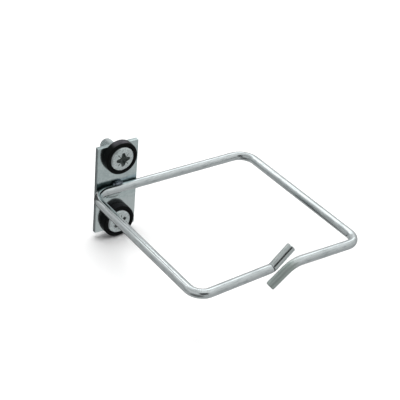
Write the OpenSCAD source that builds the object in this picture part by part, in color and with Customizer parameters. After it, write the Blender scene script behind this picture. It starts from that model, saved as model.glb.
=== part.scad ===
// Cable ring for a 19 inch rack post
//
// A square ring of round wire lies level in front of a small upright plate and is
// welded across the plate's face. The ring is one length of wire: at the front one end
// is bent up and the other down, and the slanted slot between them lets cables in but
// holds upright ones back. Two M6 screws with plastic cup washers hold the plate on the
// post.
//
// Frame: X along the plate, -Y out of the plate's front towards the ring's mouth,
// +Y into the post, Z up. The origin is the centre of the plate's back face.

/* [Plate] */
// width of the plate, left to right
plate_w = 20; // [16:0.5:40]
// height of the plate, just under one rack unit
plate_h = 42.5; // [40:0.5:44]
// thickness of the sheet
plate_t = 2; // [1.5:0.1:3]
// break on the front edges of the sheet
plate_break = 0.25; // [0.1:0.05:0.5]
// diameter of the two screw holes
hole_d = 6.6; // [6.4:0.1:7]

/* [Screws] */
// distance between the two screws, set by the rack's hole pattern
screw_pitch = 31.75; // [28:0.25:32]
// outside diameter of the thread
thread_d = 6; // [5:0.5:6]
// length of each screw under its head
screw_len = 12; // [10:1:25]
// diameter of the unthreaded neck under the head
neck_d = 5.3; // [4.5:0.1:5.5]
// diameter of the head
head_d = 11.4; // [10:0.1:12.6]
// height of the head at its centre
head_h = 3.8; // [2.8:0.1:4.2]
// rounding round the head's edge
head_round = 1.4; // [0.3:0.1:1.5]
// rise of the domed face above the rounded edge
head_dome = 0.5; // [0.1:0.05:0.8]
// break round the head's underside
head_break = 0.15; // [0.05:0.05:0.3]
// height of the chamfer on each screw's tip
tip_h = 0.8; // [0.4:0.1:1.2]
// length of the cross recess, arm tip to arm tip
recess_l = 6.9; // [5:0.1:7.6]
// width of a recess arm
recess_w = 1.7; // [1:0.05:2]
// depth of the recess arms
recess_depth = 1.8; // [1.2:0.1:1.9]
// metal left under the point of the recess
recess_floor = 0.6; // [0.4:0.1:0.8]
// width of the fine ticks between the arms
tick_w = 0.3; // [0.2:0.05:0.5]
// depth of the ticks
tick_depth = 0.45; // [0.4:0.05:0.6]
// turn of the lower screw's recess from upright, in degrees
lower_turn = 34; // [0:1:90]

/* [Cup washers] */
// outside diameter of a cup at the plate
cup_d = 15.2; // [14.4:0.1:16]
// height of a cup off the plate
cup_h = 3.6; // [2.4:0.1:4]
// thickness of a cup's floor under the screw head
cup_floor = 0.8; // [0.6:0.1:1.2]
// taper of a cup's side from base to rim, on the radius
cup_taper = 0.1; // [0:0.05:0.4]
// rounding of a cup's outer rim
cup_round = 0.5; // [0.2:0.1:0.6]
// break round a cup's base and inside its rim
cup_break = 0.25; // [0.1:0.05:0.3]
// clearance round the head inside a cup
cup_clear = 0.2; // [0.1:0.05:0.4]
// diameter of a cup's hole
cup_hole_d = 6.4; // [6.2:0.1:7]

/* [Ring] */
// diameter of the wire
wire_d = 4; // [3:0.5:5]
// overall width of the ring, left to right
ring_w = 85; // [70:1:120]
// overall depth of the ring, back to front
ring_d = 84.4; // [70:0.2:120]
// how far the ring stands out past the plate's left edge
ring_overhang = 5.2; // [0:0.1:8]
// height of the wire's centre above the plate's centre
ring_rise = 0.4; // [-3:0.1:3]
// how far the wire is pressed into the plate's face
seat_depth = 0.15; // [0.1:0.05:0.3]
// centreline bend radius of the two corners beside the plate
back_r = 7.5; // [6:0.5:15]
// centreline bend radius of the two front corners
front_r = 6; // [5:0.5:15]
// lean of the front's left half towards the plate, in degrees
left_lean = 3; // [0:0.5:5]
// lean of the front's right half towards the plate, in degrees
right_lean = 1.4; // [0:0.2:5]
// square break on the wire's two cut ends
end_break = 0.3; // [0.1:0.1:0.6]

/* [Mouth] */
// place of the upward bend along the front, as a share of its width
mouth_share = 0.456; // [0.35:0.005:0.6]
// clear slot between the wire's two ends, seen from the front
mouth_gap = 2.2; // [1:0.1:8]
// slant of the two ends out of the ring's plane, in degrees
lap_angle = 38.1; // [25:0.1:55]
// length of the end that is bent up
upper_end = 11.7; // [8:0.1:20]
// length of the end that is bent down
lower_end = 13.5; // [10:0.1:20]
// centreline radius of the tight upward bend
upper_end_r = 3.6; // [2.5:0.1:6]
// centreline radius of the soft downward bend
lower_end_r = 13; // [6:0.5:16]

/* [Welds] */
// radius of a weld bead's rounded face
bead_r = 1.6; // [1.2:0.1:2]
// length of the bead on top of the wire
upper_bead_l = 5.4; // [4:0.1:12]
// distance of the upper bead's centre off the plate
upper_bead_out = 0.9; // [0.5:0.1:1.2]
// how far the upper bead's centre lies below the wire's top
upper_bead_sink = 0.55; // [0:0.05:1]
// length of the bead under the wire
lower_bead_l = 6.4; // [4:0.1:12]
// place of the lower bead's centre left of the screws
lower_bead_shift = 1.9; // [0:0.1:4]
// distance of the lower bead's centre off the plate
lower_bead_out = 0.5; // [0.3:0.1:1.2]
// how far the lower bead's centre lies below the wire's underside
lower_bead_drop = 0.9; // [0.5:0.1:1.2]

/* [Hidden] */

fine = 96;
past = 1;                                       // how far a cutter runs past a face
wire_r = wire_d / 2;
bend_swell = 0.01;                              // how much a bend stands proud of the wire
leg_lap = 0.1;                                  // how far a straight leg runs into a bend
bead_skin = 0.02;                               // bead's hairline off the wire
head_seat = plate_t + cup_floor;                // height of the head's underside
rim_r = cup_d / 2 - cup_taper;
pocket_r = head_d / 2 + cup_clear;

// corners of the wire's centreline, before its bends are rounded
left_x = -plate_w / 2 - ring_overhang + wire_r;
right_x = left_x + ring_w - wire_d;
back_y = -plate_t - wire_r + seat_depth;
front_y = back_y - ring_d + wire_d;

// along the front, the two bends of the mouth stand so far apart that the slanted ends
// clear each other by the slot
up_bend_x = left_x + mouth_share * (right_x - left_x);
down_bend_x = up_bend_x + (wire_d + mouth_gap) / sin(lap_angle);

// the wire runs both ways from where it leaves the first bend beside the plate:
// lengths from corner to corner, turns in degrees (left is positive), the roll of each
// bend out of the ring's plane, and bend radii
side_run = back_y - front_y;
left_legs = [back_r, side_run, (up_bend_x - left_x) / cos(left_lean), upper_end];
left_turns = [90, 90 + left_lean, lap_angle];
left_rolls = [0, 0, 90];
left_radii = [back_r, front_r, upper_end_r];
right_legs = [right_x - left_x - back_r, side_run, (right_x - down_bend_x) / cos(right_lean), lower_end];
right_turns = [-90, -90 - right_lean, lap_angle];
right_rolls = [0, 0, -90];
right_radii = [back_r, front_r, lower_end_r];

mounting_plate();
cable_ring();
upper_weld();
lower_weld();
upper_screw();
lower_screw();
upper_cup_washer();
lower_cup_washer();

function heading(a) = [cos(a), sin(a)];
// straight length used up on each side of a corner by its bend
function reach(turn, r) = r * tan(abs(turn) / 2);
function thousandth(v) = round(1000 * v) / 1000;
// points round an arc, from angle a to angle b
function arc(centre, r, a, b, n) = [for (k = [0:n]) centre + r * heading(a + (b - a) * k / n)];

// stands a shape drawn flat on XY up on the plate, its +Z pointing out at the front
module on_face() {
    rotate([90, 0, 0]) children();
}

// a shape at the upper (1) or lower (-1) screw
module at_screw(side) {
    on_face() translate([0, side * screw_pitch / 2, 0]) children();
}

// bend of wire that starts at the origin heading +X and turns left
module left_bend(turn, r) {
    translate([0, r, 0]) rotate([0, 0, -90]) rotate_extrude(angle = turn, $fn = fine)
        translate([r, 0]) circle(r = wire_r + bend_swell, $fn = 48);
}

// wire from the origin heading +X: leg i, then bend i, in whose end frame the rest is drawn;
// each straight leg runs a little way into the bends, which swell by a hair
module wire_run(legs, turns, rolls, radii, i = 0) {
    bends = len(turns);
    before = i > 0 ? reach(turns[i - 1], radii[i - 1]) : 0;
    after = i < bends ? reach(turns[i], radii[i]) : end_break;
    span = thousandth(legs[i] - before - after);
    if (span > 0) translate([-leg_lap, 0, 0]) rotate([0, 90, 0])
        cylinder(h = span + leg_lap + (i < bends ? leg_lap : 0), d = wire_d, $fn = 48);
    translate([span, 0, 0]) {
        if (i == bends) {
            rotate([0, 90, 0]) cylinder(h = end_break, d1 = wire_d, d2 = wire_d - 2 * end_break, $fn = 48);
        } else rotate([rolls[i], 0, 0]) {
            side = sign(turns[i]);
            if (side > 0) left_bend(turns[i], radii[i]);
            else mirror([0, 1, 0]) left_bend(-turns[i], radii[i]);
            translate([0, side * radii[i], 0]) rotate([0, 0, turns[i]])
                translate([0, -side * radii[i], 0]) wire_run(legs, turns, rolls, radii, i + 1);
        }
    }
}

module mounting_plate() {
    b = plate_break;
    color([0.66, 0.68, 0.67]) on_face() difference() {
        translate([-plate_w / 2, -plate_h / 2, 0]) cube([plate_w, plate_h, plate_t]);
        for (side = [-1, 1]) {
            translate([0, side * screw_pitch / 2, -past])
                cylinder(h = plate_t + 2 * past, d = hole_d, $fn = fine);
            // breaks along the front's long and short edges
            translate([side * plate_w / 2, 0, plate_t]) rotate([0, 45, 0])
                cube([b * sqrt(2), plate_h + 2 * past, b * sqrt(2)], center = true);
            translate([0, side * plate_h / 2, plate_t]) rotate([45, 0, 0])
                cube([plate_w + 2 * past, b * sqrt(2), b * sqrt(2)], center = true);
        }
    }
}

module cable_ring() {
    color([0.80, 0.81, 0.82]) difference() {
        translate([left_x + back_r, back_y, ring_rise]) {
            wire_run(right_legs, right_turns, right_rolls, right_radii);
            rotate([0, 0, 180]) wire_run(left_legs, left_turns, left_rolls, left_radii);
        }
        // narrow flat where the wire is pressed onto the plate
        translate([-plate_w / 2, -plate_t, -plate_h / 2]) cube([plate_w, plate_t + wire_d, plate_h]);
    }
}

// a rounded bead along X that fills the corner between the wire and the plate
module weld_bead(l, x, y, z) {
    color([0.55, 0.56, 0.56]) difference() {
        translate([x, y, z]) {
            rotate([0, 90, 0]) cylinder(h = l - 2 * bead_r, r = bead_r, center = true, $fn = 48);
            for (side = [-1, 1]) translate([side * (l / 2 - bead_r), 0, 0]) sphere(r = bead_r, $fn = 48);
        }
        translate([-ring_w, back_y, ring_rise]) rotate([0, 90, 0])
            cylinder(h = 2 * ring_w, r = wire_r + bead_skin, $fn = 48);
        translate([-plate_w, -plate_t, -plate_h]) cube([2 * plate_w, 4 * bead_r, 2 * plate_h]);
    }
}

module upper_weld() {
    weld_bead(upper_bead_l, 0, -plate_t - upper_bead_out, ring_rise + wire_r - upper_bead_sink);
}

module lower_weld() {
    weld_bead(lower_bead_l, -lower_bead_shift, -plate_t - lower_bead_out,
              ring_rise - wire_r - lower_bead_drop);
}

// pan head with a lightly domed face, its underside at z = 0
module pan_head() {
    edge_z = head_h - head_dome;
    flat_r = head_d / 2 - head_round;
    dome_r = (flat_r * flat_r + head_dome * head_dome) / (2 * head_dome);
    open = asin(flat_r / dome_r);
    rotate_extrude($fn = fine) polygon(concat(
        [[0, 0], [head_d / 2 - head_break, 0], [head_d / 2, head_break]],
        arc([flat_r, edge_z - head_round], head_round, 0, 90 - open, 8),
        arc([0, head_h - dome_r], dome_r, 90 - open, 90, 6)));
}

// cross recess: round-tipped arms, a tapered middle and a fine tick between each pair of arms
module cross_recess(turned) {
    arm = recess_l / 2 - recess_w / 2;
    translate([0, 0, head_h]) rotate([0, 0, turned]) {
        for (a = [0, 90]) rotate([0, 0, a]) {
            translate([-arm, -recess_w / 2, -recess_depth]) cube([2 * arm, recess_w, recess_depth + past]);
            for (end = [-arm, arm]) translate([end, 0, -recess_depth])
                cylinder(h = recess_depth + past, d = recess_w, $fn = 48);
            rotate([0, 0, 45]) translate([-recess_l / 2, -tick_w / 2, -tick_depth])
                cube([recess_l, tick_w, tick_depth + past]);
        }
        translate([0, 0, recess_floor - head_h])
            cylinder(h = head_h, d1 = recess_w, d2 = 2 * recess_w, $fn = 48);
    }
}

module machine_screw(turned) {
    tip = screw_len - head_seat;
    color([0.74, 0.75, 0.75]) {
        translate([0, 0, head_seat]) difference() {
            pan_head();
            cross_recess(turned);
        }
        cylinder(h = head_seat, d = neck_d, $fn = fine);
        translate([0, 0, tip_h - tip]) cylinder(h = tip - tip_h, d = thread_d, $fn = fine);
        translate([0, 0, -tip]) cylinder(h = tip_h, d1 = thread_d - 2 * tip_h, d2 = thread_d, $fn = fine);
    }
}

module upper_screw() {
    at_screw(1) machine_screw(0);
}

module lower_screw() {
    at_screw(-1) machine_screw(lower_turn);
}

// shallow round cup that the screw head sinks into, its base at z = 0
module cup_washer() {
    color([0.03, 0.03, 0.035]) rotate_extrude($fn = fine) polygon(concat(
        [[cup_hole_d / 2, 0], [cup_d / 2 - cup_break, 0], [cup_d / 2, cup_break]],
        arc([rim_r - cup_round, cup_h - cup_round], cup_round, 0, 90, 6),
        [[pocket_r + cup_break, cup_h], [pocket_r, cup_h - cup_break], [pocket_r, cup_floor],
         [cup_hole_d / 2, cup_floor]]));
}

module upper_cup_washer() {
    at_screw(1) translate([0, 0, plate_t]) cup_washer();
}

module lower_cup_washer() {
    at_screw(-1) translate([0, 0, plate_t]) cup_washer();
}
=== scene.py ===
# Dresses the rack cable ring: bright zinc wire, galvanised plate, pan head screws in black cup washers.
import bmesh
import bpy
import math
from mathutils import Matrix, Vector


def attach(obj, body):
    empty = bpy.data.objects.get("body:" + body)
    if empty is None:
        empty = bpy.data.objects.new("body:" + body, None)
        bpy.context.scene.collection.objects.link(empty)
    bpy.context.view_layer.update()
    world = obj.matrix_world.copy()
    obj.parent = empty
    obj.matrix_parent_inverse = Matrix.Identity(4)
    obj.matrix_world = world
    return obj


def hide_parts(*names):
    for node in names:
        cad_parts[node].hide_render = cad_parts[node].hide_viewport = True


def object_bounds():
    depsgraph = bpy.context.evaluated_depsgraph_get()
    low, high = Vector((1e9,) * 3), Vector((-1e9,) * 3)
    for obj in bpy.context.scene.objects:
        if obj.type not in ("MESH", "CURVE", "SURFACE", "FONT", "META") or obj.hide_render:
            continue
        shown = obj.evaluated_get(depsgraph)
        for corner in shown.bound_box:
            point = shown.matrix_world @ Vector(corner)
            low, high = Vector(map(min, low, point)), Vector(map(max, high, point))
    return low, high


mm = 0.001
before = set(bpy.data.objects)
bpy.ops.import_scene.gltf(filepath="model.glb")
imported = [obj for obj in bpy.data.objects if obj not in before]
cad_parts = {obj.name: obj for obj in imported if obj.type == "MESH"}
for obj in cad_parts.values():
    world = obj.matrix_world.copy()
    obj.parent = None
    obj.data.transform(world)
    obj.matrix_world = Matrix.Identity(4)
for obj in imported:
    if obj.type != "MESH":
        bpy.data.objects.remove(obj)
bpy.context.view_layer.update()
print("frame loaded:", sorted(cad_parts))


class Signal:
    # a socket that takes part in arithmetic; each operator adds one Math node
    def __init__(self, bench, socket):
        self.bench, self.socket = bench, socket

    def combine(self, operation, first, second):
        return self.bench.node("ShaderNodeMath", {"operation": operation}, {0: first, 1: second})

    def __add__(self, other):
        return self.combine("ADD", self, other)

    def __radd__(self, other):
        return self.combine("ADD", other, self)

    def __sub__(self, other):
        return self.combine("SUBTRACT", self, other)

    def __rsub__(self, other):
        return self.combine("SUBTRACT", other, self)

    def __mul__(self, other):
        return self.combine("MULTIPLY", self, other)

    def __rmul__(self, other):
        return self.combine("MULTIPLY", other, self)

    def __truediv__(self, other):
        return self.combine("DIVIDE", self, other)

    def __abs__(self):
        return self.combine("ABSOLUTE", self, 0.0)


class Bench:
    # one node tree and the few ways of filling it
    def __init__(self, tree):
        self.tree = tree
        tree.nodes.clear()

    # kind of node, settings made first, socket values or links, and the output that is wanted
    def node(self, kind, settings=None, inputs=None, out=0):
        made = self.tree.nodes.new(kind)
        for key, value in (settings or {}).items():
            if key == "stops":
                ramp = made.color_ramp
                while len(ramp.elements) < len(value):
                    ramp.elements.new(1.0)
                for element, (place, colour) in zip(ramp.elements, value):
                    element.position, element.color = place, rgba(colour)
            else:
                setattr(made, key, value)
        for key, value in (inputs or {}).items():
            if isinstance(value, Signal):
                self.tree.links.new(value.socket, made.inputs[key])
            else:
                made.inputs[key].default_value = value
        return Signal(self, made.outputs[out]) if made.outputs else made

    def coords(self, out="Object"):
        return self.node("ShaderNodeTexCoord", out=out)

    def stretch(self, vector, scale):
        return self.node("ShaderNodeVectorMath", {"operation": "MULTIPLY"}, {0: vector, 1: scale})

    def noise(self, vector, scale, detail, rough=0.5):
        return self.node("ShaderNodeTexNoise", {}, {"Vector": vector, "Scale": scale, "Detail": detail,
                                                    "Roughness": rough})

    def smooth(self, value, start, end, low=0.0, high=1.0):
        return self.node("ShaderNodeMapRange", {"interpolation_type": "SMOOTHSTEP"},
                         {"Value": value, "From Min": start, "From Max": end,
                          "To Min": low, "To Max": high})

    def mix(self, factor, first, second):
        if not isinstance(first, Signal):
            first = rgba(first)
        if not isinstance(second, Signal):
            second = rgba(second)
        return self.node("ShaderNodeMix", {"data_type": "RGBA"}, {0: factor, 6: first, 7: second}, out=2)

    def split(self, vector, axis):
        return self.node("ShaderNodeSeparateXYZ", {}, {0: vector}, out=axis)

    def dot(self, vector, axis):
        return self.node("ShaderNodeVectorMath", {"operation": "DOT_PRODUCT"}, {0: vector, 1: axis},
                         out="Value")

    def bump(self, height, distance, strength):
        return self.node("ShaderNodeBump", {},
                         {"Height": height, "Distance": distance, "Strength": strength})


def rgba(colour):
    if isinstance(colour, (int, float)):
        colour = (colour,) * 3
    return (*colour, 1.0)[:4]


# makes a material; fill(bench) gives the Principled shader's sockets
def material(name, fill):
    made = bpy.data.materials.new(name)
    made.use_nodes = True
    bench = Bench(made.node_tree)
    shader = bench.node("ShaderNodeBsdfPrincipled", {}, fill(bench))
    bench.node("ShaderNodeOutputMaterial", {}, {"Surface": shader})
    return made


def meshObject(name, points, faces, slots, smoothAngle=35):
    mesh = bpy.data.meshes.new(name)
    mesh.from_pydata(points, [], faces)
    mesh.validate()
    made = bpy.data.objects.new(name, mesh)
    bpy.context.scene.collection.objects.link(made)
    for slot in slots:
        mesh.materials.append(slot)
    shadeByAngle(made, smoothAngle)
    return made


def shadeByAngle(made, degrees):
    mesh = made.data
    mesh.shade_smooth()
    mesh.set_sharp_from_angle(angle=math.radians(degrees))


# quads between rows of points; every row goes once round
def ringFaces(rows, around):
    faces = []
    for i in range(rows - 1):
        for j in range(around):
            k = (j + 1) % around
            a, b = i * around, (i + 1) * around
            faces.append((a + j, a + k, b + k, b + j))
    return faces


# turns a profile of (radius, height) round Z into a closed mesh
def lathe(name, profile, around, slots, smoothAngle=35):
    points, faces, rows = [], [], []
    for radius, height in profile:
        if radius == 0:
            rows.append([len(points)])
            points.append((0, 0, height))
        else:
            rows.append(list(range(len(points), len(points) + around)))
            points += [(radius * math.cos(2 * math.pi * j / around),
                        radius * math.sin(2 * math.pi * j / around), height) for j in range(around)]
    closed = rows + [rows[0]] if len(rows[0]) > 1 else rows
    for low, high in zip(closed, closed[1:]):
        for j in range(around):
            k = (j + 1) % around
            corners = [low[j % len(low)], low[k % len(low)], high[k % len(high)], high[j % len(high)]]
            face = list(dict.fromkeys(corners))
            if len(face) > 2:
                faces.append(face)
    return meshObject(name, points, faces, slots, smoothAngle)


def boxTool(low, high):
    corners = [(x, y, z) for x in (low[0], high[0]) for y in (low[1], high[1]) for z in (low[2], high[2])]
    faces = [(0, 1, 3, 2), (4, 6, 7, 5), (0, 4, 5, 1), (2, 3, 7, 6), (0, 2, 6, 4), (1, 5, 7, 3)]
    return meshObject("tool", corners, faces, [])


def arcPoints(centre, radius, start, end, count):
    turns = [math.radians(start + (end - start) * k / count) for k in range(count + 1)]
    return [(centre[0] + radius * math.cos(t), centre[1] + radius * math.sin(t)) for t in turns]


# places a piece drawn on XY out from the plate's face at a height on the plate
def onFace(made, height=0.0, lift=0.0):
    place = Matrix.Translation((0, -lift, height)) @ Matrix.Rotation(math.radians(90), 4, "X")
    made.data.transform(place)
    made.data.update()


def applyModifiers(made):
    graph = bpy.context.evaluated_depsgraph_get()
    mesh = bpy.data.meshes.new_from_object(made.evaluated_get(graph))
    made.modifiers.clear()
    old, made.data = made.data, mesh
    mesh.name = made.name
    bpy.data.meshes.remove(old)


# cuts tool out of a piece and removes the tool
def cutOut(made, tool):
    cut = made.modifiers.new("cut", "BOOLEAN")
    cut.operation, cut.solver, cut.object = "DIFFERENCE", "EXACT", tool
    bpy.context.view_layer.update()
    applyModifiers(made)
    bpy.data.objects.remove(tool)


# rides on the only body and stands for its CAD node
def dress(made, node):
    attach(made, "root")
    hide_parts(node)


view = {"place": (-0.220371, -0.354916, 0.259513), "azimuth": -37.011, "elevation": 32.314,
        "roll": 5.475, "lens": 101.70}


def makeCamera():
    az, el, roll = (math.radians(view[key]) for key in ("azimuth", "elevation", "roll"))
    back = Vector((math.sin(az) * math.cos(el), -math.cos(az) * math.cos(el), math.sin(el)))
    right = (-back).cross(Vector((0, 0, 1))).normalized()
    up = back.cross(right)
    turned = Matrix((right, up, back)).transposed() @ Matrix.Rotation(roll, 3, "Z")
    data = bpy.data.cameras.new("camera")
    data.lens, data.sensor_width, data.clip_start, data.clip_end = view["lens"], 36.0, 0.01, 20.0
    camera = bpy.data.objects.new("camera", data)
    camera.matrix_world = Matrix.Translation(view["place"]) @ turned.to_4x4()
    bpy.context.scene.collection.objects.link(camera)
    bpy.context.scene.camera = camera


# what the bright metal mirrors: levels as (height, level) from straight below to straight above,
# and panels as (azimuth, elevation, half width, half height, softness, level), angles in degrees
studio = {
    "levels": [(-1.0, 0.42), (-0.7, 0.40), (-0.35, 0.38), (0.0, 0.46), (0.35, 0.54), (0.64, 0.58),
               (1.0, 0.74)],
    "panels": [(60, 49, 43, 13, 4, 1.3), (-30, 54, 34, 10, 10, 0.76), (-176, 54, 27, 13, 9, 0.44),
               (140, -6, 34, 22, 16, 0.37), (-106, 27, 22, 20, 8, 0.03), (-145, -28, 30, 24, 12, 0.12)],
    "card": {"outline": [(-24, -110), (13.5, -110), (13.5, -21), (-9.5, -21), (-9.5, 21), (13.5, 21),
                         (13.5, 80), (-6, 30), (-6, 115), (-34, 115), (-34, 25), (-24, 25)],
             "depth": 10.5 * mm, "fadeFrom": 15 * mm, "fadeTo": 30 * mm, "low": 0.06, "high": 0.42},
    "lampPower": 24.5, "lampSize": 1.6, "lampPlace": (0.25, 0.3, 1.5),
    "floorDrop": 0.2 * mm, "floorHalf": 3.0, "floorTones": (0.88, 0.90),
}


def makeLight():
    scene = bpy.context.scene
    scene.view_settings.view_transform = "Standard"
    world = bpy.data.worlds.new("studio")
    world.use_nodes = True
    scene.world = world
    bench = Bench(world.node_tree)
    way = bench.coords("Generated")
    height = bench.split(way, 2)
    stops = [((z + 1) / 2, level) for z, level in studio["levels"]]
    glow = bench.node("ShaderNodeValToRGB", {"stops": stops}, {0: (height + 1) * 0.5})
    for az, el, wide, high, soft, level in studio["panels"]:
        az, el = math.radians(az), math.radians(el)
        centre = Vector((math.cos(az) * math.cos(el), math.sin(az) * math.cos(el), math.sin(el)))
        side = Vector((-math.sin(az), math.cos(az), 0))
        ahead = bench.dot(way, centre)
        across = abs(bench.dot(way, side) / ahead)
        along = abs(bench.dot(way, centre.cross(side)) / ahead)
        reach = [math.tan(math.radians(a)) for a in (wide - soft, wide + soft, high - soft, high + soft)]
        mask = bench.smooth(across, reach[0], reach[1], 1, 0)
        mask = mask * bench.smooth(along, reach[2], reach[3], 1, 0)
        glow = bench.mix(mask * bench.smooth(ahead, 0.0, 0.1), glow, level)
    sky = bench.node("ShaderNodeBackground", {}, {"Color": glow, "Strength": 1.0})
    bench.node("ShaderNodeOutputWorld", {}, {"Surface": sky})

    lamp = bpy.data.lights.new("overhead", "AREA")
    lamp.shape, lamp.size, lamp.energy = "DISK", studio["lampSize"], studio["lampPower"]
    overhead = bpy.data.objects.new("overhead", lamp)
    overhead.location = studio["lampPlace"]
    overhead.rotation_euler = Vector(studio["lampPlace"]).to_track_quat("Z", "Y").to_euler()
    overhead.visible_glossy = False
    overhead.visible_camera = False
    scene.collection.objects.link(overhead)


def makeFloor():
    def paint(bench):
        grain = bench.noise(bench.coords(), 9.0, 2.0)
        return {"Base Color": bench.mix(grain, *studio["floorTones"]), "Roughness": 0.9,
                "Specular IOR Level": 0.0}

    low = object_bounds()[0][2] - studio["floorDrop"]
    half = studio["floorHalf"]
    corners = [(-half, -half, low), (half, -half, low), (half, half, low), (-half, half, low)]
    floor = meshObject("floor", corners, [(0, 1, 2, 3)], [material("paleFloor", paint)])
    floor.visible_glossy = False


# glowing grey card behind the plate that only the metal sees, as it would see the post it is screwed to,
# with painted shade low down where the plate shades the post
def makeCard():
    card = studio["card"]

    def paint(bench):
        height = bench.split(bench.coords(), 2)
        fade = bench.smooth(height, card["fadeFrom"], card["fadeTo"])
        return {"Base Color": rgba(0.0), "Specular IOR Level": 0.0, "Emission Strength": 1.0,
                "Emission Color": bench.mix(fade, card["low"], card["high"])}

    corners = [(x * mm, card["depth"], z * mm) for x, z in card["outline"]]
    made = meshObject("card", corners, [tuple(range(len(corners)))], [material("greyCard", paint)])
    made.visible_camera = False
    made.visible_diffuse = False
    made.visible_shadow = False


makeCamera()
makeLight()
makeFloor()
makeCard()
print("camera, light and floor made")


# wander is how far the edges of the painted shade and painted reflection stray, and the toe is the painted
# shade line under the lower bead
plate = {"width": 20 * mm, "height": 42.5 * mm, "thick": 2 * mm, "edge": 0.25 * mm, "corner": 0.35 * mm,
         "hole": 3.3 * mm, "pitch": 31.75 * mm, "holeSteps": 64, "merge": 0.002 * mm,
         "colour": (0.86, 0.99, 0.99), "dull": (0.73, 0.85, 0.855), "spangle": (0.62, 0.74, 0.745),
         "pit": (0.42, 0.45, 0.45), "paleBelowWire": (0.90, 1.0, 1.0), "reflectionTint": (0.34, 0.42, 0.47),
         "plateShade": (0.045, 0.075, 0.073), "wander": 1.2 * mm, "plateShadeLeft": 4.3 * mm, "plateShadeRight": 2.75 * mm,
         "toeHeight": -4.15 * mm, "toeMiddle": -1.9 * mm}


# galvanised sheet: cloudy zinc with fine spangle, rolling lines and a few pits, duller away from the face
def galvanised(bench):
    place = bench.coords()
    cloud = bench.noise(place, 160, 4.0, 0.6)
    rolled = bench.noise(bench.stretch(place, (9000, 900, 500)), 1.0, 3.0)
    pits = bench.smooth(bench.noise(place, 1500, 2.0), 0.64, 0.74)
    spangle = bench.noise(place, 950, 3.0, 0.6)
    face = bench.smooth(bench.split(place, 1) / -plate["thick"], 0.86, 0.97)      # 1 on the front only
    colour = bench.mix(bench.smooth(cloud, 0.35, 0.7), plate["colour"], plate["dull"])
    colour = bench.mix(bench.smooth(spangle, 0.42, 0.68) * 0.45, colour, plate["spangle"])
    colour = bench.mix(pits * 0.35, colour, plate["pit"])
    # painted shade round the welds: near black above the wire's left part, and a bluish painted reflection
    # further along
    wander = (bench.noise(place, 900, 3.0) - 0.5) * plate["wander"]
    x = bench.split(place, 0)
    z = bench.split(place, 2) + wander
    above = face * bench.smooth(z, 0.0, 0.6 * mm)
    limit = bench.smooth(x, -2.0 * mm, 2.5 * mm, plate["plateShadeLeft"], plate["plateShadeRight"])
    black = above * bench.smooth(z - limit, -0.7 * mm, 0.6 * mm, 1, 0)
    # bluish painted reflection of the wire on the plate
    blue = above * bench.smooth(z, 3.2 * mm, 4.6 * mm, 1, 0)
    # painted shade along the lower bead's toe
    toe = face * bench.smooth(abs(bench.split(place, 2) - plate["toeHeight"]), 0.1 * mm, 0.4 * mm, 1, 0)
    toe = toe * bench.smooth(abs(x - plate["toeMiddle"]), 2.9 * mm, 3.6 * mm, 1, 0)
    # paler and more even below the wire
    colour = bench.mix(bench.smooth(z, -9.0 * mm, -4.0 * mm, 0.8, 0.0), colour, plate["paleBelowWire"])
    colour = bench.mix(blue * 0.75, colour, plate["reflectionTint"])
    # near-black painted shade above the wire's left part
    colour = bench.mix(black * 0.94, colour, plate["plateShade"])
    colour = bench.mix(toe * 0.8, colour, plate["plateShade"])
    height = rolled * 0.5 + cloud * 0.6 - pits * 0.5
    return {"Base Color": colour, "Metallic": 1.0,
            "Roughness": 0.34 - face * 0.20 + cloud * 0.06 + pits * 0.1 + black * 0.15,
            "Normal": bench.bump(height, 0.006 * mm, 0.6)}


def makePlate():
    outline = bpy.data.curves.new("plate", "CURVE")
    outline.dimensions, outline.fill_mode = "2D", "BOTH"
    outline.extrude = plate["thick"] / 2 - plate["edge"]
    outline.bevel_depth, outline.bevel_resolution = plate["edge"], 3
    outline.offset = -plate["edge"]
    w, h, c = plate["width"] / 2, plate["height"] / 2, plate["corner"]
    rim = []
    for x, z, turn in ((w - c, h - c, 0), (c - w, h - c, 90), (c - w, c - h, 180), (w - c, c - h, 270)):
        rim += arcPoints((x, z), c, turn, turn + 90, 5)
    loops = [rim]
    for side in (-1, 1):
        middle = (0, side * plate["pitch"] / 2)
        loops.append(arcPoints(middle, plate["hole"], 0, 360, plate["holeSteps"])[:-1])
    for loop in loops:
        spline = outline.splines.new("POLY")
        spline.points.add(len(loop) - 1)
        for point, (x, y) in zip(spline.points, loop):
            point.co = (x, y, 0, 1)
        spline.use_cyclic_u = True
    sheet = bpy.data.objects.new("plateCurve", outline)
    bpy.context.scene.collection.objects.link(sheet)
    bpy.context.view_layer.update()
    mesh = bpy.data.meshes.new_from_object(sheet.evaluated_get(bpy.context.evaluated_depsgraph_get()))
    bpy.data.objects.remove(sheet)
    made = bpy.data.objects.new("plateSheet", mesh)
    bpy.context.scene.collection.objects.link(made)
    mesh.transform(Matrix.Translation((0, 0, plate["thick"] / 2)))
    mesh.materials.clear()
    mesh.materials.append(material("galvanisedSheet", galvanised))
    work = bmesh.new()
    work.from_mesh(mesh)
    bmesh.ops.remove_doubles(work, verts=work.verts, dist=plate["merge"])
    work.to_mesh(mesh)
    work.free()
    shadeByAngle(made, 40)
    onFace(made)
    dress(made, "mounting_plate")


makePlate()
print("plate made")


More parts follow.
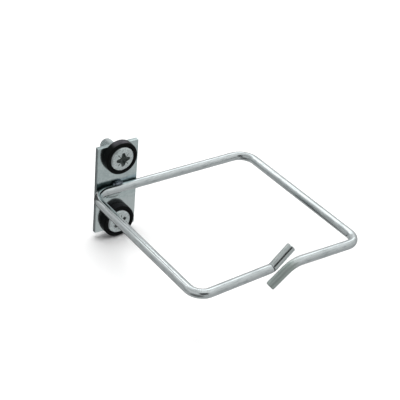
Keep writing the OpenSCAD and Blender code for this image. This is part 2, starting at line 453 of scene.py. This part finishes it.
# seat is how deep the wire is pressed into the plate's face, and lap how steeply the two ends slant
ring = {"wire": 4 * mm, "width": 85 * mm, "depth": 84.4 * mm, "overhang": 5.2 * mm, "rise": 0.4 * mm,
        "seat": 0.15 * mm, "backBend": 7.5 * mm, "frontBend": 6 * mm, "leftLean": 3, "rightLean": 1.4,
        "break": 0.3 * mm, "mouthShare": 0.456, "slot": 2.2 * mm, "lap": 38.1,
        "upperEnd": 11.7 * mm, "lowerEnd": 13.5 * mm, "upperBend": 3.6 * mm, "lowerBend": 13 * mm,
        "flatten": 0.10, "around": 48, "step": 2 * mm, "bendSteps": 16,
        "colour": (0.82, 0.88, 0.89), "dull": (0.70, 0.76, 0.77), "streak": (0.46, 0.51, 0.52),
        # the crease tone is painted shade, and the ends' tone is duller plating with painted shade
        "mark": (0.36, 0.37, 0.38), "crease": (0.16, 0.18, 0.18), "worn": (0.57, 0.65, 0.61),
        "dullAndShadedUpper": 0.35, "fadeUpper": 8, "dullAndShadedLower": 1.0, "fadeLower": 3, "reachLower": 1.2}


# direction from a heading on the level and a climb, both in degrees
def heading(turn, climb):
    a = math.radians(turn)
    b = math.radians(climb)
    return Vector((math.cos(a) * math.cos(b), math.sin(a) * math.cos(b), math.sin(b)))


# corners of the wire's centreline from its raised end round to its lowered end, and their bends
def ringCorners():
    r = ring
    left = -plate["width"] / 2 - r["overhang"] + r["wire"] / 2
    right = left + r["width"] - r["wire"]
    back = -plate["thick"] - r["wire"] / 2 + r["seat"]
    front = back - r["depth"] + r["wire"]
    upX = left + r["mouthShare"] * (right - left)
    downX = upX + (r["wire"] + r["slot"]) / math.sin(math.radians(r["lap"]))
    upBend = Vector((upX, front + (upX - left) * math.tan(math.radians(r["leftLean"])), r["rise"]))
    downBend = Vector((downX, front + (right - downX) * math.tan(math.radians(r["rightLean"])), r["rise"]))
    square = [Vector((x, y, r["rise"]))
              for x, y in ((left, front), (left, back), (right, back), (right, front))]
    raised = upBend + heading(r["leftLean"], r["lap"]) * r["upperEnd"]
    lowered = downBend + heading(180 - r["rightLean"], -r["lap"]) * r["lowerEnd"]
    bends = [r["upperBend"], r["frontBend"], r["backBend"], r["backBend"], r["frontBend"], r["lowerBend"]]
    return [raised, upBend, *square, downBend, lowered], bends


noSide = Vector((0, 0, 0))


# centreline as (place, direction, side that a bend turns to, tightness), with every corner rounded
def ringPath():
    corners, bends = ringCorners()
    path = []

    def straight(start, end):
        count = max(1, round((end - start).length / ring["step"]))
        way = (end - start).normalized()
        for k in range(1, count):
            path.append((start.lerp(end, k / count), way, noSide, 0.0))

    here = corners[0]
    for before, corner, after, radius in zip(corners, corners[1:], corners[2:], bends):
        wayIn = (corner - before).normalized()
        wayOut = (after - corner).normalized()
        turn = wayIn.angle(wayOut)
        reach = radius * math.tan(turn / 2)
        side = (wayOut - wayIn * wayIn.dot(wayOut)).normalized()
        start = corner - wayIn * reach
        straight(here, start)
        for k in range(ring["bendSteps"] + 1):
            a = turn * k / ring["bendSteps"]
            place = start + wayIn * radius * math.sin(a) + side * radius * (1 - math.cos(a))
            tight = math.sin(math.pi * k / ring["bendSteps"]) * ring["wire"] / (2 * radius)
            inward = side * math.cos(a) - wayIn * math.sin(a)
            path.append((place, wayIn * math.cos(a) + side * math.sin(a), inward, tight))
        here = corner + wayOut * reach
    straight(here, corners[-1])
    return path, corners[0], corners[-1]


# bright zinc on drawn wire: fine die lines, milky patches, greyer streaks, marked bends, painted shade in
# the tight crease, dull ends also painted darker as shade
def brightZinc(bench):
    drawn = bench.node("ShaderNodeAttribute", {"attribute_name": "drawn"}, out="Vector")
    rub = bench.node("ShaderNodeAttribute", {"attribute_name": "rub"}, out="Fac")
    worn = bench.node("ShaderNodeAttribute", {"attribute_name": "worn"}, out="Fac")
    lines = bench.noise(bench.stretch(drawn, (60, 5200, 5200)), 1.0, 3.0, 0.6)
    milk = bench.noise(bench.stretch(drawn, (90, 260, 260)), 1.0, 3.0)
    streaks = bench.noise(bench.stretch(drawn, (220, 1100, 1100)), 1.0, 3.0, 0.6)
    marks = bench.smooth(bench.noise(bench.stretch(drawn, (1500, 500, 500)), 1.0, 2.0), 0.5, 0.66) * rub
    colour = bench.mix(bench.smooth(milk, 0.4, 0.75), ring["colour"], ring["dull"])
    colour = bench.mix(bench.smooth(streaks, 0.48, 0.68) * 0.5, colour, ring["streak"])
    colour = bench.mix(marks * 0.7, colour, ring["mark"])
    # ends: duller plating, with painted shade
    colour = bench.mix(worn * (0.6 + 0.4 * milk), colour, ring["worn"])
    folds = bench.noise(bench.stretch(drawn, (500, 600, 600)), 1.0, 2.0)
    # painted shade in the crease of the tightest bend
    crease = bench.smooth(rub + (folds - 0.5) * 0.18, 0.45, 0.53)
    colour = bench.mix(crease * 0.85, colour, ring["crease"])
    height = lines * 0.55 + milk * 0.5 + streaks * 1.8 - marks * 0.6 - crease * 2.0
    return {"Base Color": colour, "Metallic": 1.0,
            "Roughness": 0.10 + lines * 0.10 + milk * 0.05 + marks * 0.12 + worn * worn * 0.34,
            "Normal": bench.bump(height, 0.006 * mm, 0.5)}


def makeRing():
    path, first, last = ringPath()
    around = ring["around"]
    radius = ring["wire"] / 2
    rows = []
    for end, way, inside in ((first, path[0][1], 1), (last, path[-1][1], -1)):
        caps = [(end, way, noSide, 0.0, radius - ring["break"]),
                (end + way * ring["break"] * inside, way, noSide, 0.0, radius)]
        if inside > 0:
            rows += caps + [(*spot, radius) for spot in path]
        else:
            rows += caps[::-1]
    points, drawn, rub, worn = [], [], [], []
    total = sum((after[0] - before[0]).length for before, after in zip(rows, rows[1:]))
    travelled = 0.0
    for i, (place, way, inward, tight, size) in enumerate(rows):
        if i:
            travelled += (place - rows[i - 1][0]).length
        leftUpper = 1 - travelled / ring["upperEnd"]
        leftLower = ring["reachLower"] - (total - travelled) / ring["lowerEnd"]
        wearAndShade = max(ring["dullAndShadedUpper"] * min(1, max(0, ring["fadeUpper"] * leftUpper)),
                   ring["dullAndShadedLower"] * min(1, max(0, ring["fadeLower"] * leftLower)))
        side = Vector((0, 0, 1)).cross(way).normalized()
        up = way.cross(side)
        for j in range(around):
            a = 2 * math.pi * j / around
            out = (side * math.cos(a) + up * math.sin(a)) * size
            out -= inward * out.dot(inward) * ring["flatten"] * tight    # bending flattens it a little
            spot = place + out
            if abs(spot.x) < plate["width"] / 2:                         # pressed on the plate's face
                spot.y = min(spot.y, -plate["thick"])
            points.append(spot)
            drawn += (travelled, math.cos(a) * size, math.sin(a) * size)
            rub.append(tight)
            worn.append(wearAndShade)
    faces = ringFaces(len(rows), around)
    for row, flip in ((0, True), (len(rows) - 1, False)):
        cap = [row * around + j for j in range(around)]
        faces.append(cap[::-1] if flip else cap)
    faces = [face[::-1] for face in faces]
    made = meshObject("ringWire", points, faces, [material("brightZincWire", brightZinc)], 40)
    made.data.attributes.new("drawn", "FLOAT_VECTOR", "POINT").data.foreach_set("vector", drawn)
    made.data.attributes.new("rub", "FLOAT", "POINT").data.foreach_set("value", rub)
    made.data.attributes.new("worn", "FLOAT", "POINT").data.foreach_set("value", worn)
    dress(made, "cable_ring")


makeRing()
print("ring made")


# out and up place a bead from the plate's face and the wire's middle, and lag bends its ripples
weld = {"radius": 1.6 * mm, "ripple": 0.75 * mm, "rippleDepth": 0.07, "rippleShape": 1.5, "lag": 0.5,
        "fullness": 3.2, "endShare": 0.02, "around": 40, "rows": 90,
        "upper": {"length": 5.4 * mm, "shift": 0.0, "out": 0.9 * mm, "up": 1.45 * mm},
        "lower": {"length": 6.4 * mm, "shift": plate["toeMiddle"], "out": 0.5 * mm, "up": -2.9 * mm},
        # the first tone pair is a darker painted-shade copy of the zinc, for the upper bead
        "weldShade": ((0.28, 0.33, 0.38), (0.09, 0.11, 0.13)),
        "zinced": ((0.84, 0.95, 0.94), (0.68, 0.78, 0.78)), "toe": (0.05, 0.07, 0.07)}


# zinc over weld metal: coarse and mottled, with painted shade along the lower toe
def weldZinc(tones):
    def paint(bench):
        place = bench.coords()
        scale = bench.noise(place, 2600, 4.0, 0.65)
        stain = bench.noise(place, 700, 3.0)
        colour = bench.mix(bench.smooth(stain, 0.35, 0.65), tones[0], tones[1])
        # painted shade along the lower toe
        aboveToe = bench.split(place, 2) - plate["toeHeight"]
        toe = bench.smooth(aboveToe, 0.15 * mm, 0.45 * mm, 1, 0)
        colour = bench.mix(toe * 0.9, colour, weld["toe"])
        return {"Base Color": colour, "Metallic": 1.0, "Roughness": 0.20 + scale * 0.2,
                "Normal": bench.bump(scale + stain, 0.02 * mm, 0.6)}

    return paint


def makeWeld(name, node, size, coat):
    radius, around, rows = weld["radius"], weld["around"], weld["rows"]
    half = size["length"] / 2
    points = []
    for i in range(rows + 1):
        s = -math.cos(math.pi * i / rows)
        swell = max(weld["endShare"], (1 - abs(s) ** weld["fullness"]) ** 0.5)
        for j in range(around):
            a = 2 * math.pi * j / around
            wave = (s * half + weld["lag"] * radius * math.sin(a) ** 2) / weld["ripple"]
            bump = 1 - weld["rippleDepth"] * (wave - math.floor(wave)) ** weld["rippleShape"]
            thick = radius * swell * bump
            points.append((s * half, thick * math.cos(a), thick * math.sin(a)))
    faces = ringFaces(rows + 1, around)
    faces += [list(range(around))[::-1], [rows * around + j for j in range(around)]]
    faces = [face[::-1] for face in faces]
    made = meshObject(name, points, faces, [coat], 60)
    made.data.transform(Matrix.Translation((size["shift"], -plate["thick"] - size["out"],
                                            ring["rise"] + size["up"])))
    wire = ring["wire"] / 2
    far = 30 * mm                                    # well past the bead each way
    bore = lathe("bore", [(0, -far), (wire, -far), (wire, far), (0, far)], 96, [coat])
    across = Matrix.Rotation(math.radians(90), 4, "Y")
    behind = -plate["thick"] - wire + ring["seat"]
    bore.data.transform(Matrix.Translation((0, behind, ring["rise"])) @ across)
    cutOut(made, bore)
    cutOut(made, boxTool((-far, -plate["thick"], -far), (far, far, far)))
    shadeByAngle(made, 60)
    dress(made, node)


# the upper bead gets the same zinc in a darker, painted-shade copy
weldShade = material("weldPaintedShade", weldZinc(weld["weldShade"]))
zinced = material("zincedWeld", weldZinc(weld["zinced"]))
makeWeld("upperWeldBead", "upper_weld", weld["upper"], weldShade)
makeWeld("lowerWeldBead", "lower_weld", weld["lower"], zinced)
print("welds made")


# seat is the height of the head's underside over the plate's back, and tip the chamfer at the end
screw = {"thread": 6 * mm, "lead": 1 * mm, "length": 12 * mm, "neck": 5.3 * mm, "seat": 2.8 * mm,
         "head": 11.4 * mm, "high": 3.8 * mm, "round": 1.4 * mm, "dome": 0.5 * mm, "break": 0.15 * mm,
         "recess": 6.9 * mm, "arm": 1.7 * mm, "deep": 1.8 * mm, "tip": 0.8 * mm, "around": 96,
         "tickHalf": 0.14 * mm, "tickDeep": 0.42 * mm, "tickShare": 0.52,
         "threadDepth": 0.613, "flank": 2.35, "crestFlat": 0.15, "shankAround": 72, "perTurn": 18,
         "turns": {"upper": 0, "lower": 34}, "screwShadeOut": 5.62 * mm, "screwShadeWide": 0.2 * mm,
         "colour": (0.86, 0.95, 0.95), "dull": (0.64, 0.71, 0.71), "speck": (0.30, 0.35, 0.35),
         "screwShade": (0.10, 0.11, 0.12), "recessDark": (0.07, 0.09, 0.09), "recessPale": (0.24, 0.27, 0.26)}


# plated steel: faint turning marks, mottled plating and specks, with a painted dark reflection line round
# the head and painted shade in the thread roots
def platedSteel(bench):
    place = bench.node("ShaderNodeAttribute", {"attribute_name": "turned"}, out="Vector")
    grain = bench.noise(bench.coords(), 1100, 4.0, 0.6)
    out, along = bench.split(place, 0), bench.split(place, 1)
    onHead = bench.smooth(along, 2.4 * mm, 3.2 * mm)
    specks = bench.smooth(bench.noise(bench.coords(), 1500, 2.0), 0.60, 0.70) * onHead
    rings = bench.noise(bench.stretch(place, (4200, 300, 300)), 1.0, 2.0)
    colour = bench.mix(bench.smooth(grain, 0.38, 0.64), screw["colour"], screw["dull"])
    colour = bench.mix(specks * 0.7, colour, screw["speck"])
    # painted dark reflection: a dark line round the head's rounding
    fromLine = abs(out - screw["screwShadeOut"]) + (grain - 0.5) * screw["screwShadeWide"]
    line = bench.smooth(fromLine, screw["screwShadeWide"] * 0.6, screw["screwShadeWide"] * 1.3, 1, 0) * onHead
    tipEnd = screw["seat"] - screw["length"]
    threaded = bench.smooth(along, -0.3 * mm, 0.0, 1, 0)
    threaded = threaded * bench.smooth(along, tipEnd + 0.1 * mm, tipEnd + 0.4 * mm)
    # painted shade in the thread roots
    roots = threaded * bench.smooth(out, 2.45 * mm, 2.85 * mm, 1, 0)
    colour = bench.mix(line * 0.85 + roots * 0.75, colour, screw["screwShade"])
    return {"Base Color": colour, "Metallic": 0.86, "Roughness": 0.27 + grain * 0.14,
            "Normal": bench.bump(rings + grain * 0.6, 0.012 * mm, 0.6)}


# the recess: same plating, pressed and dull, its dark tone painted shade
def recessSteel(bench):
    grain = bench.noise(bench.coords(), 2600, 3.0)
    colour = bench.mix(bench.smooth(grain, 0.35, 0.65), screw["recessDark"], screw["recessPale"])
    return {"Base Color": colour, "Metallic": 0.9, "Roughness": 0.42 + grain * 0.15,
            "Normal": bench.bump(grain, 0.02 * mm, 0.5)}


# tapered cross of four arms with rounded tips, open at the head's face
def recessTool(slots):
    top, deep, reach, arm = 0.6 * mm, screw["deep"], screw["recess"] / 2, screw["arm"] / 2

    def outline(height, reach, arm, corner):
        loop = []
        for quarter in range(4):
            a = math.radians(90 * quarter)
            for x, y in arcPoints((reach - arm, 0), arm, -90, 90, 8) + [(corner, corner)]:
                loop.append((x * math.cos(a) - y * math.sin(a), x * math.sin(a) + y * math.cos(a), height))
        return loop

    layers = [outline(top, reach * 1.02, arm * 1.05, arm * 1.5),
              outline(-0.25 * mm, reach * 0.97, arm, arm * 1.4),
              outline(-deep * 0.75, reach * 0.72, arm * 0.8, arm * 1.05),
              outline(-deep, reach * 0.35, arm * 0.6, arm * 0.7)]
    points = [point for layer in layers for point in layer]
    size = len(layers[0])
    faces = ringFaces(len(layers), size)
    points.append((0, 0, -deep - 0.35 * mm))
    tip = len(points) - 1
    last = (len(layers) - 1) * size
    faces += [(last + j, last + (j + 1) % size, tip) for j in range(size)]
    faces.append(list(range(size))[::-1])
    return meshObject("tool", points, [face[::-1] for face in faces], slots)


def makeHead(slots, turned):
    s = screw
    radius, flat, edge = s["head"] / 2, s["head"] / 2 - s["round"], s["high"] - s["dome"]
    domeRadius = (flat ** 2 + s["dome"] ** 2) / (2 * s["dome"])
    opening = math.degrees(math.asin(flat / domeRadius))
    profile = [(0, 0), (radius - s["break"], 0), (radius, s["break"])]
    profile += arcPoints((flat, edge - s["round"]), s["round"], 0, 90 - opening, 12)
    profile += arcPoints((0, s["high"] - domeRadius), domeRadius, 90 - opening, 90, 14)[1:-1]
    profile.append((0, s["high"]))
    head = lathe("head", profile, s["around"], slots, 50)
    tool = recessTool([slots[1]])
    onTop = Matrix.Translation((0, 0, s["high"]))
    tool.data.transform(onTop @ Matrix.Rotation(math.radians(turned), 4, "Z"))
    cutOut(head, tool)
    for a in (45, 135):                              # fine ticks between the arms
        reach = s["recess"] * s["tickShare"]
        tick = boxTool((-reach, -s["tickHalf"], -s["tickDeep"]), (reach, s["tickHalf"], 1 * mm))
        tick.data.materials.append(slots[1])
        tick.data.transform(onTop @ Matrix.Rotation(math.radians(turned + a), 4, "Z"))
        cutOut(head, tick)
    return head


# shank drawn down from the head: plain neck, then a rolled thread that runs out at both ends
def makeShank(slots):
    s = screw
    around = s["shankAround"]
    tipEnd = s["seat"] - s["length"]
    crest, root = s["thread"] / 2, s["thread"] / 2 - s["threadDepth"] * s["lead"]
    points = []
    heights = [s["seat"] + 0.3 * mm, 0.25 * mm]      # the neck's two ends
    count = round(-tipEnd / s["lead"] * s["perTurn"])
    heights += [tipEnd * k / count for k in range(count + 1)]
    for i, z in enumerate(heights):
        for j in range(around):
            turn = j / around
            if i < 2:
                r = s["neck"] / 2
            else:
                phase = (z / s["lead"] + turn) % 1.0
                wave = min(1.0, max(0.0, abs(phase - 0.5) * s["flank"] - s["crestFlat"]))
                r = crest - (crest - root) * wave
                r = min(r, crest - s["tip"] + z - tipEnd)
                if z > -s["lead"]:                   # thread fades into the neck
                    fade = -z / s["lead"]
                    r = r * fade + s["neck"] / 2 * (1 - fade)
            points.append((r * math.cos(2 * math.pi * turn), r * math.sin(2 * math.pi * turn), z))
    faces = ringFaces(len(heights), around)
    faces += [list(range(around))[::-1], [(len(heights) - 1) * around + j for j in range(around)]]
    return meshObject("shank", points, faces, slots, 30)


def makeScrew(name, node, side, turned, slots):
    head, shank = makeHead(slots, turned), makeShank(slots)
    head.data.transform(Matrix.Translation((0, 0, screw["seat"])))
    work = bmesh.new()
    work.from_mesh(head.data)
    work.from_mesh(shank.data)
    bmesh.ops.recalc_face_normals(work, faces=work.faces)
    work.to_mesh(head.data)
    work.free()
    bpy.data.objects.remove(shank)
    head.name = head.data.name = name
    turnedSpots = []
    for vertex in head.data.vertices:
        x, y, z = vertex.co
        turnedSpots += (math.hypot(x, y), z, 0.0)
    head.data.attributes.new("turned", "FLOAT_VECTOR", "POINT").data.foreach_set("vector", turnedSpots)
    shadeByAngle(head, 38)
    onFace(head, side * plate["pitch"] / 2)
    dress(head, node)


screwCoats = [material("platedScrewSteel", platedSteel), material("shadedRecess", recessSteel)]
makeScrew("upperScrewBody", "upper_screw", 1, screw["turns"]["upper"], screwCoats)
makeScrew("lowerScrewBody", "lower_screw", -1, screw["turns"]["lower"], screwCoats)
print("screws made")


# taper narrows the rim, and gap is the pocket's clearance round the head
cup = {"across": 15.2 * mm, "high": 3.6 * mm, "floor": 0.8 * mm, "taper": 0.1 * mm, "round": 0.5 * mm,
       "break": 0.25 * mm, "fillet": 0.2 * mm, "gap": 0.2 * mm, "hole": 6.4 * mm, "around": 128,
       "colour": (0.002, 0.003, 0.003), "upLight": (0.062, 0.061, 0.070)}


# moulded black nylon: fine mould skin, a slight bloom, and a painted highlight on what faces up
def blackNylon(bench):
    place = bench.coords()
    skin = bench.noise(place, 3800, 3.0, 0.6)
    bloom = bench.noise(place, 420, 3.0)
    upward = bench.split(bench.node("ShaderNodeNewGeometry", out="Normal"), 2)
    upLit = bench.smooth(upward, 0.78, 0.99) * bench.smooth(bloom, 0.25, 0.7, 0.4, 1.0)
    # painted shade: the lower cup, under the wire, gets less of that painted highlight
    upLight = upLit * bench.smooth(bench.split(place, 2), -12 * mm, 4 * mm, 0.3, 1.0)
    return {"Base Color": bench.mix(upLight, cup["colour"], cup["upLight"]), "Metallic": 0.0,
            "Roughness": 0.34 + bloom * 0.14 + skin * 0.06, "Specular IOR Level": 0.1,
            "Normal": bench.bump(skin, 0.02 * mm, 0.5)}


def makeCup(name, node, side, coat):
    c = cup
    rim, pocket = c["across"] / 2 - c["taper"], screw["head"] / 2 + c["gap"]
    edge, fillet = c["break"], c["fillet"]
    profile = [(c["hole"] / 2, 0), (c["across"] / 2 - edge, 0)]
    profile += arcPoints((c["across"] / 2 - edge, edge), edge, -90, 0, 5)[1:]
    profile += arcPoints((rim - c["round"], c["high"] - c["round"]), c["round"], 0, 90, 8)
    profile += arcPoints((pocket + edge, c["high"] - edge), edge, 90, 180, 5)
    profile += arcPoints((pocket - fillet, c["floor"] + fillet), fillet, 0, -90, 4)
    profile.append((c["hole"] / 2, c["floor"]))
    made = lathe(name, profile, c["around"], [coat], 45)
    onFace(made, side * plate["pitch"] / 2, plate["thick"])
    dress(made, node)


nylon = material("blackNylon", blackNylon)
makeCup("upperCup", "upper_cup_washer", 1, nylon)
makeCup("lowerCup", "lower_cup_washer", -1, nylon)
print("cup washers made")
